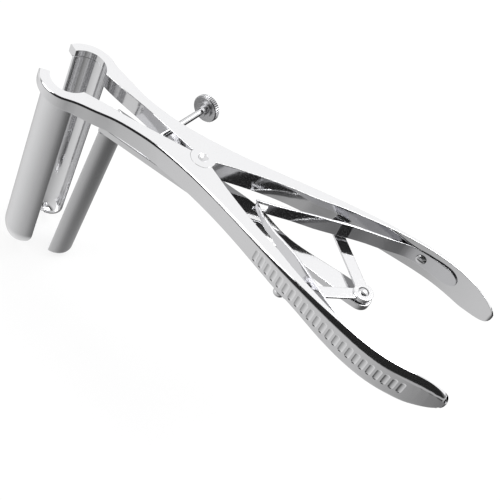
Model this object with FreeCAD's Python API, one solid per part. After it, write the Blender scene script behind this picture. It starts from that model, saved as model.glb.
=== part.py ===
import FreeCAD, Part
import math
import os

from FreeCAD import Vector

# Three-blade anal speculum, in millimetres.
# +X runs from the pivot to the handle ends, the right lever lies on the +Y side, +Z points up.
# The blades hang down. The origin is on the pivot axis, in the plane of the levers' flat tops.
# The instrument stands as the thumb screw holds it, a few degrees open.

# Driving dimensions: lever plan, right side
RING_X = -59.7
RING_Y = 5.0
RING_BORE_R = 8.4
RING_WALL = 4.4
RING_TIP_ANGLE = 154.0
RING_CUSP_ANGLE = 18.0
RING_SHOULDER_ANGLE = 40.0
NECK_OUTER = ((-46.0, 13.4), (-37.0, 11.0), (-28.0, 9.6), (-18.7, 9.2), (-9.0, 10.0))
HANDLE_OUTER = ((9.5, 13.4), (28.0, 18.4), (46.5, 23.8), (65.0, 28.5), (84.0, 32.1), (99.0, 33.3), (113.0, 31.3))
HANDLE_TIP = (126.2, 25.9)
HANDLE_TIP_THICKNESS = 2.6
HANDLE_TIP_SLANT = 22.0
NECK_INNER = ((-44.0, 6.3), (-30.0, 4.6), (-15.0, 2.1))
HANDLE_INNER = ((14.0, 5.9), (24.0, 10.2), (36.0, 14.6), (44.5, 17.2), (51.5, 20.1))
HANDLE_INNER_REAR = ((61.0, 23.3), (75.0, 27.3), (88.0, 29.7), (100.0, 30.3), (113.0, 28.4))
LAP_GAP = 0.35
LAP_REAR = (4.9, 1.5)

# Driving dimensions: lever height
LEVER_BOTTOM_FRONT = ((-74.5, -4.2), (-66.0, -4.9), (-56.0, -6.0), (-46.0, -7.0), (-33.0, -7.6))
LEVER_BOTTOM_REAR = ((-18.0, -8.5), (14.0, -8.8), (35.0, -9.3), (48.0, -10.2))
HANDLE_BOTTOM = ((62.0, -11.0), (76.0, -13.2), (94.0, -14.6), (110.0, -14.8))
HANDLE_TIP_TOP_X = 109.0
HANDLE_TIP_MID_Z = -7.6

# Driving dimensions: pivot
LAP_DISC_R = 5.2
LAP_BOTTOM = -8.8
RUNNING_GAP = 0.05
PIVOT_SHANK_R = 1.5
PIVOT_HEAD_R = 2.0
PIVOT_HEAD_DEPTH = 1.1
PIVOT_SPACER_R = 3.4
PIVOT_NUT_R = 4.2
PIVOT_NUT_HEIGHT = 2.8

# Driving dimensions: centre bar and its travel
BAR_TOP_FRONT = -11.2
BAR_TOP_REAR = -13.3
BAR_THICKNESS = 3.1
BAR_HALF_WIDTH_FRONT = 7.0
BAR_HALF_WIDTH_REAR = 3.8
BAR_END_R = 4.7
BAR_STEP_START_X = 25.0
BAR_STEP_END_X = 45.0
BAR_TRAVEL_OPEN = 9.0
BAR_TRAVEL_CLOSED = 6.8
BAR_GUIDE_GAP = 0.10

# Driving dimensions: blades
BLADE_WALL = 1.4
SIDE_BLADE_FROM = 41.0
SIDE_BLADE_TO = 154.0
BLADE_TIP_Z = -98.6
SIDE_BLADE_NOSE = 9.0
BLADE_SEAT_Z = -3.4
CENTRE_BLADE_R = 7.5
CENTRE_BLADE_X = -41.6
CENTRE_BLADE_HALF_ANGLE = 86.0
CENTRE_BLADE_NOSE = 3.2
CENTRE_BLADE_LEAN = 2.9

# Driving dimensions: linkage
HINGE_X = 53.8
HINGE_Y = 23.0
HINGE_TOP_Z = -10.3
JOINT_X = 80.0
LINK_THICKNESS = 1.0
LINK_HALF_WIDTH = 2.45
LINK_EYE_R = 4.1
LINK_SHANK_R = 1.2
RIVET_HEAD_R = 2.3
RIVET_HEAD_HEIGHT = 1.1
RIVET_FOOT_R = 2.6
RIVET_FOOT_HEIGHT = 0.9
LINKAGE_PLAY = 0.5
LINK_EYE_PLAY = 0.28
LINK_SPACER_R = 3.0
LINK_SCREW_HEAD_R = 2.35
LINK_SCREW_HEAD_HEIGHT = 2.2
LINK_SCREW_DEPTH = 5.0
LINK_SWING = 26.5
LINK_RELIEF = 0.3

# Driving dimensions: leaf springs
SPRING_THICKNESS = 0.95
SPRING_LINE = ((32.0, 3.2), (42.0, 8.3), (51.0, 12.6), (60.0, 17.2), (68.0, 21.2), (77.0, 25.2))
SPRING_FOOT_X = (86.0, 97.0, 108.5)
SPRING_SEAT_DEPTH = 0.3
SPRING_TIP_RIGHT = (26.0, 0.5)
SPRING_TIP_LEFT = (26.6, -1.5)
SPRING_ROOT_TOP = -2.8
SPRING_ROOT_HEIGHT = 7.8
SPRING_MID_HEIGHT = 6.4
SPRING_TIP_HEIGHT = 4.8
SPRING_TONGUE_HEIGHT = 2.0
SPRING_FORK_GAP = 0.4
SPRING_SCREW_X = 91.6
SPRING_SCREW_Z = -6.9
SPRING_SCREW_R = 1.0
SPRING_SCREW_HEAD_R = 2.3
SPRING_SCREW_HEAD_HEIGHT = 0.9
SPRING_SCREW_LENGTH = 3.2

# Driving dimensions: thumb screw
THUMB_X = -19.0
THUMB_Z = -4.2
THUMB_TILT = 9.0
THUMB_ROD_R = 1.35
THUMB_TIP_Y = -2.35
THUMB_KNOB_Y = 24.6
KNOB_COLLAR_R = 2.2
KNOB_COLLAR_LENGTH = 1.8
KNOB_HUB_R = 3.5
KNOB_HUB_LENGTH = 1.0
KNOB_R = 5.85
KNOB_THICKNESS = 2.8
KNOB_TEETH = 40
KNOB_TOOTH_DEPTH = 0.3

# Driving dimensions: finger grooves
GROOVE_COUNT = 23
GROOVE_FIRST_X = 39.3
GROOVE_PITCH = 3.23
GROOVE_LENGTH = 6.2
GROOVE_HALF_WIDTH = 1.15
GROOVE_DEPTH = 0.4

RING_OUTER_R = RING_BORE_R + RING_WALL
LAP_MIDDLE = LAP_BOTTOM / 2
BAR_BOTTOM_FRONT = BAR_TOP_FRONT - BAR_THICKNESS
BAR_BOTTOM_REAR = BAR_TOP_REAR - BAR_THICKNESS
LOWEST = -200.0
UP = Vector(0, 0, 1)


def point(x, y, z=0.0):
    return Vector(x, y, z)


def polar(cx, cy, radius, degrees):
    """A point on a circle in the plan, by its angle from +X."""
    angle = math.radians(degrees)
    return Vector(cx + radius * math.cos(angle), cy + radius * math.sin(angle), 0)


def arc(first, middle, last):
    return Part.Arc(first, middle, last).toShape()


def line(first, last):
    return Part.makeLine(first, last)


def spline(points, start=None, end=None):
    """A smooth curve through points, with the directions at its ends where they matter."""
    curve = Part.BSplineCurve()
    if start and end:
        curve.interpolate(Points=points, InitialTangent=start, FinalTangent=end)
    else:
        curve.interpolate(Points=points)
    return curve.toShape()


def prism(edges, z_low, z_high):
    """The closed plan outline that the edges make, from one height to another."""
    face = Part.Face(Part.Wire(edges))
    face.translate(Vector(0, 0, z_low))
    return face.extrude(Vector(0, 0, z_high - z_low))


def side_prism(points, half_width):
    """A closed side view in X and Z, extruded both ways along Y."""
    wire = Part.makePolygon([Vector(x, -half_width, z) for x, z in points + points[:1]])
    return Part.Face(wire).extrude(Vector(0, 2 * half_width, 0))


def cylinder(radius, z_low, z_high, x=0.0, y=0.0):
    return Part.makeCylinder(radius, z_high - z_low, Vector(x, y, z_low))


def turned(profile, x=0.0, y=0.0):
    """A body of revolution about a vertical axis, from a closed outline of radius and height."""
    wire = Part.makePolygon([Vector(r, 0, z) for r, z in profile + profile[:1]])
    body = Part.Face(wire).revolve(Vector(0, 0, 0), UP, 360)
    body.translate(Vector(x, y, 0))
    return body


def dome(radius, height, z_base, x=0.0, y=0.0, downward=False):
    """A spherical cap on the level z_base."""
    ball = (radius ** 2 + height ** 2) / (2 * height)
    sign = -1 if downward else 1
    sphere = Part.makeSphere(ball, Vector(x, y, z_base + sign * (height - ball)))
    low = z_base - height if downward else z_base
    return sphere.common(cylinder(2 * radius, low, low + height, x, y))


def mirrored(shape):
    return shape.mirror(Vector(0, 0, 0), Vector(0, 1, 0))


def lever_plan():
    """The right lever seen from above, jaw ring to handle tip, with vertical walls."""
    ring_out = [polar(RING_X, RING_Y, RING_OUTER_R, a) for a in (RING_TIP_ANGLE, 95.0, RING_SHOULDER_ANGLE)]
    ring_in = [polar(RING_X, RING_Y, RING_BORE_R, a) for a in (RING_TIP_ANGLE, 90.0, RING_CUSP_ANGLE)]
    outer_end, tip, inner_end = handle_tip()
    inner = [point(*LAP_REAR)] + [point(x, y) for x, y in HANDLE_INNER + HANDLE_INNER_REAR] + [inner_end]
    neck = [ring_in[2]] + [point(x, y) for x, y in NECK_INNER] + [point(-LAP_DISC_R, LAP_GAP)]
    return [
        arc(*ring_out),
        outer_edge(),
        arc(outer_end, tip, inner_end),
        spline(inner),
        line(point(*LAP_REAR), point(-LAP_DISC_R, LAP_GAP)),
        spline(neck),
        arc(*ring_in),
        line(ring_in[0], ring_out[0]),
    ]


def handle_tip():
    """Outer side, tip and inner side of the handle's round end, in plan."""
    x, y = HANDLE_TIP
    half = HANDLE_TIP_THICKNESS / 2
    slant = math.radians(HANDLE_TIP_SLANT)
    along = Vector(math.cos(slant), -math.sin(slant), 0) * half
    across = Vector(math.sin(slant), math.cos(slant), 0) * half
    centre = point(x, y)
    return centre + across, centre + along, centre - across


def outer_edge():
    """The plan curve of the lever's outer side, from its ring to the handle's tip."""
    start = polar(RING_X, RING_Y, RING_OUTER_R, RING_SHOULDER_ANGLE)
    return spline([start] + [point(x, y) for x, y in NECK_OUTER + HANDLE_OUTER] + [handle_tip()[0]])


def lever_side():
    """The lever's side view: level top, deepening handle with a round end."""
    tip_x = HANDLE_TIP[0] + HANDLE_TIP_THICKNESS / 2
    low_x, low_z = HANDLE_BOTTOM[-1]
    front_x, front_z = LEVER_BOTTOM_FRONT[0]
    steps = 4
    end = []
    for i in range(steps + 1):
        turn = math.pi / 2 * i / steps
        end.append(point(HANDLE_TIP_TOP_X + (tip_x - HANDLE_TIP_TOP_X) * math.sin(turn), 0,
                         HANDLE_TIP_MID_Z * (1 - math.cos(turn))))
    for i in range(1, steps + 1):
        turn = math.pi / 2 * i / steps
        end.append(point(low_x + (tip_x - low_x) * math.cos(turn), 0,
                         HANDLE_TIP_MID_Z + (low_z - HANDLE_TIP_MID_Z) * math.sin(turn)))
    underside = [point(x, 0, z) for x, z in LEVER_BOTTOM_FRONT + LEVER_BOTTOM_REAR + HANDLE_BOTTOM]
    return [
        line(point(front_x, 0, 0), end[0]),
        spline(end, Vector(1, 0, 0), Vector(-1, 0, 0)),
        spline(list(reversed(underside)), Vector(-1, 0, 0), Vector(-1, 0, 0.1)),
        line(point(front_x, 0, front_z), point(front_x, 0, 0)),
    ]


def side_body(edges, half_width):
    """A closed side view of edges in X and Z, extruded both ways along Y."""
    face = Part.Face(Part.Wire(edges))
    face.translate(Vector(0, -half_width, 0))
    return face.extrude(Vector(0, 2 * half_width, 0))


def link_relief(angle):
    """Room under the handle for the link, from its rest angle through its swing."""
    reach = 12.0
    width = LINK_HALF_WIDTH + LINK_RELIEF
    near, far = math.radians(angle), math.radians(angle + LINK_SWING)
    hinge = Vector(HINGE_X, HINGE_Y, 0)
    along = Vector(math.cos(near), math.sin(near), 0)
    beyond = Vector(math.cos(far), math.sin(far), 0)
    right = Vector(math.sin(near), -math.cos(near), 0) * width
    left = Vector(-math.sin(far), math.cos(far), 0) * width
    corners = [hinge + right, hinge + right + along * reach, hinge + left + beyond * reach, hinge + left]
    wedge = Part.Face(Part.makePolygon(corners + corners[:1]))
    wedge.translate(Vector(0, 0, LOWEST))
    wedge = wedge.extrude(Vector(0, 0, HINGE_TOP_Z - LOWEST))
    return wedge.fuse(cylinder(width, LOWEST, HINGE_TOP_Z, HINGE_X, HINGE_Y))


def right_side_lever(top_lap):
    """A lever on the +Y side: top_lap says whether its lap disc is the upper or the lower one."""
    lever = prism(lever_plan(), LOWEST, 0.0).common(side_body(lever_side(), 100.0))
    own_low, own_high = (LAP_MIDDLE + RUNNING_GAP / 2, 0.0) if top_lap else (LAP_BOTTOM, LAP_MIDDLE - RUNNING_GAP / 2)
    room_low, room_high = (LAP_BOTTOM - 5.0, own_low) if top_lap else (own_high, 1.0)
    lever = lever.cut(cylinder(LAP_DISC_R + RUNNING_GAP, room_low, room_high))
    lever = lever.fuse(cylinder(LAP_DISC_R, own_low, own_high)).removeSplitter()
    lever = lever.cut([cylinder(PIVOT_SHANK_R + RUNNING_GAP, LOWEST, 1.0), cylinder(LAP_DISC_R, LOWEST, LAP_BOTTOM)])
    rest = math.degrees(math.atan2(-HINGE_Y, JOINT_X - HINGE_X))
    lever = lever.cut(link_relief(rest))
    lever = lever.cut(cylinder(LINK_SHANK_R, LOWEST, HINGE_TOP_Z + LINK_SCREW_DEPTH, HINGE_X, HINGE_Y))
    lever = lever.cut(cylinder(RING_BORE_R + BLADE_WALL, LOWEST, BLADE_SEAT_Z, RING_X, RING_Y)
                      .common(blade_sector()))
    return lever


def blade_sector():
    """The wedge of space that a side blade takes round its ring's axis."""
    reach = 3 * RING_OUTER_R
    arm = [polar(RING_X, RING_Y, reach, a) for a in (SIDE_BLADE_FROM, 97.0, SIDE_BLADE_TO)]
    centre = point(RING_X, RING_Y)
    return prism([line(centre, arm[0]), arc(*arm), line(arm[2], centre)], LOWEST, 10.0)


def quarter(radius, height, z_level, steps=10):
    """Points of a quarter ellipse in the XZ plane, from its widest level down to the axis."""
    turns = [math.pi / 2 * i / steps for i in range(steps + 1)]
    return [Vector(radius * math.cos(t), 0, z_level - height * math.sin(t)) for t in turns]


def trough(radius, z_top, z_tip, nose, start, sweep):
    """A blade about the Z axis: even wall, round nose, over an arc of the circle from start."""
    inner = radius - BLADE_WALL
    shoulder = z_tip + nose
    outer_nose = quarter(radius, nose, shoulder)
    inner_nose = quarter(inner, nose - BLADE_WALL, shoulder)
    edges = [
        line(Vector(radius, 0, z_top), outer_nose[0]),
        spline(outer_nose, Vector(0, 0, -1), Vector(-1, 0, 0)),
        line(outer_nose[-1], inner_nose[-1]),
        spline(list(reversed(inner_nose)), Vector(1, 0, 0), Vector(0, 0, 1)),
        line(inner_nose[0], Vector(inner, 0, z_top)),
        line(Vector(inner, 0, z_top), Vector(radius, 0, z_top)),
    ]
    blade = Part.Face(Part.Wire(edges)).revolve(Vector(0, 0, 0), UP, sweep)
    blade.rotate(Vector(0, 0, 0), UP, start)
    return blade


def side_blade():
    """The right blade, brazed into its ring's rebate, with its inside flush with the ring's bore."""
    blade = trough(RING_BORE_R + BLADE_WALL, BLADE_SEAT_Z, BLADE_TIP_Z, SIDE_BLADE_NOSE,
                   SIDE_BLADE_FROM, SIDE_BLADE_TO - SIDE_BLADE_FROM)
    blade.translate(Vector(RING_X, RING_Y, 0))
    return blade


def centre_blade():
    """The third blade, under the front of the centre bar, leaning a little forward."""
    blade = trough(CENTRE_BLADE_R, BAR_BOTTOM_FRONT + 3.0, BLADE_TIP_Z, CENTRE_BLADE_NOSE,
                   -CENTRE_BLADE_HALF_ANGLE, 2 * CENTRE_BLADE_HALF_ANGLE)
    blade.translate(Vector(CENTRE_BLADE_X, 0, 0))
    blade.rotate(Vector(CENTRE_BLADE_X, 0, BAR_BOTTOM_FRONT), Vector(0, 1, 0), CENTRE_BLADE_LEAN)
    above = Part.makeBox(60, 60, 40, Vector(CENTRE_BLADE_X - 30, -30, BAR_BOTTOM_FRONT))
    return blade.cut(above)


def centre_bar():
    """The bar that carries the third blade: notched front, guide slot, gentle step down, round end."""
    front, width, waist = CENTRE_BLADE_X, BAR_HALF_WIDTH_FRONT, BAR_HALF_WIDTH_REAR
    edge = [point(front, width), point(BAR_STEP_START_X - 4, width)]
    taper = [edge[1], point(BAR_STEP_START_X + 8, width - 1.4), point(BAR_STEP_END_X, waist),
             point(JOINT_X - 16, BAR_END_R - 0.4), point(JOINT_X, BAR_END_R)]
    other = [point(p.x, -p.y) for p in taper]
    outline = [
        line(point(front, -width), point(front, width)),
        line(edge[0], edge[1]),
        spline(taper),
        arc(taper[-1], point(JOINT_X + BAR_END_R, 0), other[-1]),
        spline(list(reversed(other))),
        line(other[0], point(front, -width)),
    ]
    top = [(front - 5, BAR_TOP_FRONT), (BAR_STEP_START_X, BAR_TOP_FRONT), (BAR_STEP_START_X + 6, BAR_TOP_FRONT - 0.3),
           (BAR_STEP_END_X - 6, BAR_TOP_REAR + 0.3), (BAR_STEP_END_X, BAR_TOP_REAR), (JOINT_X + 20, BAR_TOP_REAR)]
    side = top + [(x, z - BAR_THICKNESS) for x, z in reversed(top)]
    bar = prism(outline, LOWEST, 0.0).common(side_prism(side, 30.0))
    slot_width = PIVOT_SHANK_R + BAR_GUIDE_GAP
    bar = bar.cut(slot(-BAR_TRAVEL_OPEN - BAR_GUIDE_GAP, BAR_TRAVEL_CLOSED + BAR_GUIDE_GAP, slot_width))
    bar = bar.cut(slot(JOINT_X - LINKAGE_PLAY, JOINT_X + LINKAGE_PLAY, LINK_SHANK_R + LINK_EYE_PLAY / 2))
    return bar.cut(cylinder(CENTRE_BLADE_R - BLADE_WALL, LOWEST, 0.0, front, 0.0))


def slot(x_low, x_high, radius):
    """A through slot along X with round ends."""
    body = Part.makeBox(x_high - x_low, 2 * radius, -LOWEST, Vector(x_low, -radius, LOWEST))
    return body.fuse([cylinder(radius, LOWEST, 0.0, x_low), cylinder(radius, LOWEST, 0.0, x_high)])


def pivot_screw():
    """Countersunk screw with a shallow dished head, flush with the levers' tops."""
    foot = BAR_BOTTOM_FRONT - RUNNING_GAP - PIVOT_NUT_HEIGHT + 0.6
    body = turned([(0, 0), (PIVOT_HEAD_R, 0), (PIVOT_SHANK_R, -PIVOT_HEAD_DEPTH), (PIVOT_SHANK_R, foot), (0, foot)])
    ball = 3.2
    dish = Part.makeSphere(ball, Vector(0, 0, ball - 0.45))
    return body.cut(dish)


def pivot_seat():
    """The countersink that the pivot screw's head needs in the upper lap disc."""
    return turned([(0, 0.5), (PIVOT_HEAD_R + RUNNING_GAP, 0.5), (PIVOT_HEAD_R + RUNNING_GAP, 0),
                   (PIVOT_SHANK_R + RUNNING_GAP, -PIVOT_HEAD_DEPTH), (0, -PIVOT_HEAD_DEPTH)])


def pivot_spacer():
    """The collar that keeps the centre bar clear of the levers."""
    low, high = BAR_TOP_FRONT + RUNNING_GAP, LAP_BOTTOM - RUNNING_GAP
    return cylinder(PIVOT_SPACER_R, low, high).cut(cylinder(PIVOT_SHANK_R, low, high))


def pivot_nut():
    """Round nut under the centre bar, with a domed underside."""
    high = BAR_BOTTOM_FRONT - RUNNING_GAP
    low = high - PIVOT_NUT_HEIGHT
    rim = high - 1.2
    nut = cylinder(PIVOT_NUT_R, rim, high).fuse(dome(PIVOT_NUT_R, rim - low, rim, downward=True)).removeSplitter()
    return nut.cut(cylinder(PIVOT_SHANK_R, low - 1, high))


def link_plate(z_low, eye_play):
    """The right link: a flat strip with a small eye at the handle and a large eye at the bar."""
    reach = math.hypot(JOINT_X - HINGE_X, HINGE_Y)
    angle = math.degrees(math.atan2(-HINGE_Y, JOINT_X - HINGE_X))
    strip = Part.makeBox(reach, 2 * LINK_HALF_WIDTH, LINK_THICKNESS, Vector(0, -LINK_HALF_WIDTH, z_low))
    z_high = z_low + LINK_THICKNESS
    plate = strip.fuse([cylinder(LINK_HALF_WIDTH, z_low, z_high), cylinder(LINK_EYE_R, z_low, z_high, reach)])
    plate = plate.removeSplitter()
    plate = plate.cut(cylinder(LINK_SHANK_R + RUNNING_GAP, z_low - 1, z_high + 1))
    plate = plate.cut(cylinder(LINK_SHANK_R + eye_play, z_low - 1, z_high + 1, reach))
    plate.rotate(Vector(0, 0, 0), UP, angle)
    plate.translate(Vector(HINGE_X, HINGE_Y, 0))
    return plate


UPPER_LINK_LOW = HINGE_TOP_Z - RUNNING_GAP - LINK_THICKNESS
LOWER_LINK_LOW = UPPER_LINK_LOW - RUNNING_GAP - LINK_THICKNESS


def link_rivet():
    """Rivet through both links, the spacer and the bar's end, domed above and below."""
    top = UPPER_LINK_LOW + LINK_THICKNESS
    foot = BAR_BOTTOM_REAR - RUNNING_GAP
    shank = cylinder(LINK_SHANK_R, foot - 0.1, top + 0.1, JOINT_X)
    return shank.fuse([dome(RIVET_HEAD_R, RIVET_HEAD_HEIGHT, top, JOINT_X),
                       dome(RIVET_FOOT_R, RIVET_FOOT_HEIGHT, foot, JOINT_X, downward=True)]).removeSplitter()


def link_spacer():
    """Washer between the lower link and the bar."""
    low, high = BAR_TOP_REAR + RUNNING_GAP, LOWER_LINK_LOW - RUNNING_GAP
    return cylinder(LINK_SPACER_R, low, high, JOINT_X).cut(cylinder(LINK_SHANK_R, low, high, JOINT_X))


def link_screw(link_low):
    """Shouldered screw up into the handle, with the link's small eye over its head."""
    high = link_low - RUNNING_GAP
    low = high - LINK_SCREW_HEAD_HEIGHT
    rim = high - 0.9
    shank = cylinder(LINK_SHANK_R, high - 0.1, HINGE_TOP_Z + LINK_SCREW_DEPTH, HINGE_X, HINGE_Y)
    head = cylinder(LINK_SCREW_HEAD_R, rim, high, HINGE_X, HINGE_Y)
    cap = dome(LINK_SCREW_HEAD_R, rim - low, rim, HINGE_X, HINGE_Y, downward=True)
    return shank.fuse([head, cap]).removeSplitter()


def link_washer():
    """Washer that takes up the upper link's thickness at the left handle."""
    low, high = LOWER_LINK_LOW + LINK_THICKNESS + RUNNING_GAP, HINGE_TOP_Z
    ring = cylinder(LINK_SCREW_HEAD_R, low, high, HINGE_X, HINGE_Y)
    return ring.cut(cylinder(LINK_SHANK_R, low, high, HINGE_X, HINGE_Y))


def inner_face_y(x):
    """How far from the middle plane the handle's inner face lies at x."""
    points = [point(px, py) for px, py in (LAP_REAR,) + HANDLE_INNER + HANDLE_INNER_REAR]
    return depth_at(spline(points + [handle_tip()[2]]), x)


def spring_band(tip):
    """The right spring's plan: a strip of even thickness from its foot on the handle to its tip."""
    foot = [point(x, inner_face_y(x) + SPRING_SEAT_DEPTH - SPRING_THICKNESS / 2) for x in SPRING_FOOT_X]
    middle = [point(*tip)] + [point(x, y) for x, y in SPRING_LINE] + foot
    curve = Part.BSplineCurve()
    curve.interpolate(middle)
    first, last = curve.FirstParameter, curve.LastParameter
    steps = 24
    sides = ([], [])
    for i in range(steps + 1):
        at = first + (last - first) * i / steps
        along = curve.tangent(at)[0]
        normal = Vector(-along.y, along.x, 0) * (SPRING_THICKNESS / 2)
        sides[0].append(curve.value(at) + normal)
        sides[1].append(curve.value(at) - normal)
    return [
        spline(sides[0]),
        line(sides[0][-1], sides[1][-1]),
        spline(list(reversed(sides[1]))),
        line(sides[1][0], sides[0][0]),
    ]


def spring_side(tip_x, tip_height):
    """The spring's side view: round foot, even middle, narrower tip."""
    foot_x = SPRING_FOOT_X[-1]
    root_mid = SPRING_ROOT_TOP - SPRING_ROOT_HEIGHT / 2
    mid = SPRING_ROOT_TOP - SPRING_MID_HEIGHT / 2 - 0.3
    round_start = foot_x - SPRING_ROOT_HEIGHT * 0.8
    ends = []
    steps = 8
    for i in range(2 * steps + 1):
        turn = math.pi / 2 - math.pi * i / (2 * steps)
        ends.append((round_start + (foot_x - round_start) * math.cos(turn),
                     root_mid + SPRING_ROOT_HEIGHT / 2 * math.sin(turn)))
    upper = [(tip_x, mid + tip_height / 2), (tip_x + 14, mid + tip_height / 2 + 0.2),
             (tip_x + 24, mid + SPRING_MID_HEIGHT / 2), (70.0, mid + SPRING_MID_HEIGHT / 2)]
    lower = [(70.0, mid - SPRING_MID_HEIGHT / 2), (tip_x + 24, mid - SPRING_MID_HEIGHT / 2),
             (tip_x + 14, mid - tip_height / 2 - 0.2), (tip_x, mid - tip_height / 2)]
    return upper + ends + lower


def leaf_spring(tip, forked):
    """A leaf spring for the right handle: its tip is a fork, or a tongue that fits a fork."""
    tip_x = tip[0]
    height = SPRING_TIP_HEIGHT if forked else SPRING_TONGUE_HEIGHT + 2 * SPRING_FORK_GAP
    band = prism(spring_band(tip), LOWEST, 0.0)
    spring = band.common(side_prism(spring_side(tip_x - 0.5, height), 60.0))
    mid = SPRING_ROOT_TOP - SPRING_MID_HEIGHT / 2 - 0.3
    half = SPRING_TONGUE_HEIGHT / 2
    if forked:
        half += SPRING_FORK_GAP
        spring = spring.cut(Part.makeBox(6.0, 10.0, 2 * half, Vector(tip_x - 1, -5, mid - half)))
    else:
        for z_low in (mid + half, mid - half - 5.0):
            spring = spring.cut(Part.makeBox(7.0, 20.0, 5.0, Vector(tip_x - 1, -10, z_low)))
    spot = spring_screw_frame()
    return spring.cut(placed(Part.makeCylinder(SPRING_SCREW_R, 12, Vector(0, 0, -6)), spot))


def spring_screw_frame():
    """Where a spring screw's head sits: on the spring's inner side, its Z along the screw."""
    step = 1.0
    x = SPRING_SCREW_X
    rise = inner_face_y(x + step) - inner_face_y(x - step)
    out = Vector(rise, -2 * step, 0)
    out.normalize()
    seat = Vector(x, inner_face_y(x), SPRING_SCREW_Z) + out * (SPRING_THICKNESS - SPRING_SEAT_DEPTH)
    return FreeCAD.Placement(seat, FreeCAD.Rotation(UP, out))


def placed(shape, placement):
    """A shape built about the origin, moved to its place."""
    copy = shape.copy()
    copy.transformShape(placement.toMatrix(), True)
    return copy


def spring_screw():
    """Round-headed screw that holds the spring's foot to the handle."""
    head = dome(SPRING_SCREW_HEAD_R, SPRING_SCREW_HEAD_HEIGHT, 0.02)
    shank = Part.makeCylinder(SPRING_SCREW_R, SPRING_SCREW_LENGTH, Vector(0, 0, -SPRING_SCREW_LENGTH + 0.1))
    driver = Part.makeBox(2 * SPRING_SCREW_HEAD_R, 0.6, 1.0, Vector(-SPRING_SCREW_HEAD_R, -0.3, 0.45))
    return placed(head.fuse(shank).removeSplitter().cut(driver), spring_screw_frame())


def thumb_frame():
    """The thumb screw's axis, from its tip out through the right lever's neck."""
    tilt = math.radians(THUMB_TILT)
    out = Vector(math.sin(tilt), math.cos(tilt), 0)
    tip = Vector(THUMB_X + math.tan(tilt) * THUMB_TIP_Y, THUMB_TIP_Y, THUMB_Z)
    return FreeCAD.Placement(tip, FreeCAD.Rotation(UP, out))


def thumb_length():
    return (THUMB_KNOB_Y - THUMB_TIP_Y) / math.cos(math.radians(THUMB_TILT))


def thumb_screw():
    """The threaded rod, with a rounded tip that bears on the other lever."""
    length = thumb_length()
    rod = turned([(0, 0), (THUMB_ROD_R - 0.5, 0), (THUMB_ROD_R, 0.5), (THUMB_ROD_R, length + 1.0), (0, length + 1.0)])
    return placed(rod, thumb_frame())


def thumb_screw_knob():
    """The knurled head with its hub and collar."""
    start = thumb_length()
    hub = start + KNOB_COLLAR_LENGTH
    face = hub + KNOB_HUB_LENGTH
    back = face + KNOB_THICKNESS
    edge = 0.5
    body = turned([(0, start), (KNOB_COLLAR_R, start), (KNOB_COLLAR_R, hub), (KNOB_HUB_R, hub), (KNOB_HUB_R, face),
                   (KNOB_R - edge, face), (KNOB_R, face + edge), (KNOB_R, back - edge), (KNOB_R - edge, back),
                   (0, back)])
    corners = []
    for i in range(2 * KNOB_TEETH):
        radius = KNOB_R if i % 2 == 0 else KNOB_R - KNOB_TOOTH_DEPTH
        spot = polar(0, 0, radius, 180.0 * i / KNOB_TEETH)
        corners.append(Vector(spot.x, spot.y, start - 1))
    teeth = Part.Face(Part.makePolygon(corners + corners[:1])).extrude(Vector(0, 0, back - start + 2))
    knob = body.common(teeth).cut(cylinder(THUMB_ROD_R, start - 1, start + 1.0))
    return placed(knob, thumb_frame())


def depth_at(curve, x):
    """Distance from the middle plane to a plan curve at x."""
    return curve.distToShape(line(point(x, -10), point(x, 60)))[1][0][0].y


def finger_grooves(lever):
    """Shallow oval dents along the handle's outer face."""
    face = outer_edge()
    ball = (GROOVE_HALF_WIDTH ** 2 + GROOVE_DEPTH ** 2) / (2 * GROOVE_DEPTH)
    half = GROOVE_LENGTH / 2 - GROOVE_HALF_WIDTH
    for i in range(GROOVE_COUNT):
        x = GROOVE_FIRST_X + i * GROOVE_PITCH
        slope = math.atan2(depth_at(face, x + 1) - depth_at(face, x - 1), 2)
        reach = ball - GROOVE_DEPTH
        spot = Vector(x - math.sin(slope) * reach, depth_at(face, x) + math.cos(slope) * reach, groove_level(x))
        top, low = spot + Vector(0, 0, half), spot - Vector(0, 0, half)
        capsule = Part.makeCylinder(ball, 2 * half, low).fuse([Part.makeSphere(ball, top), Part.makeSphere(ball, low)])
        lever = lever.cut(capsule)
    return lever


def groove_level(x):
    """Middle of the handle's height at x."""
    stations = LEVER_BOTTOM_REAR + HANDLE_BOTTOM
    for (x0, z0), (x1, z1) in zip(stations, stations[1:]):
        if x0 <= x <= x1:
            return (z0 + (z1 - z0) * (x - x0) / (x1 - x0)) / 2 - 0.5
    return stations[-1][1] / 2 - 0.5


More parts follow.
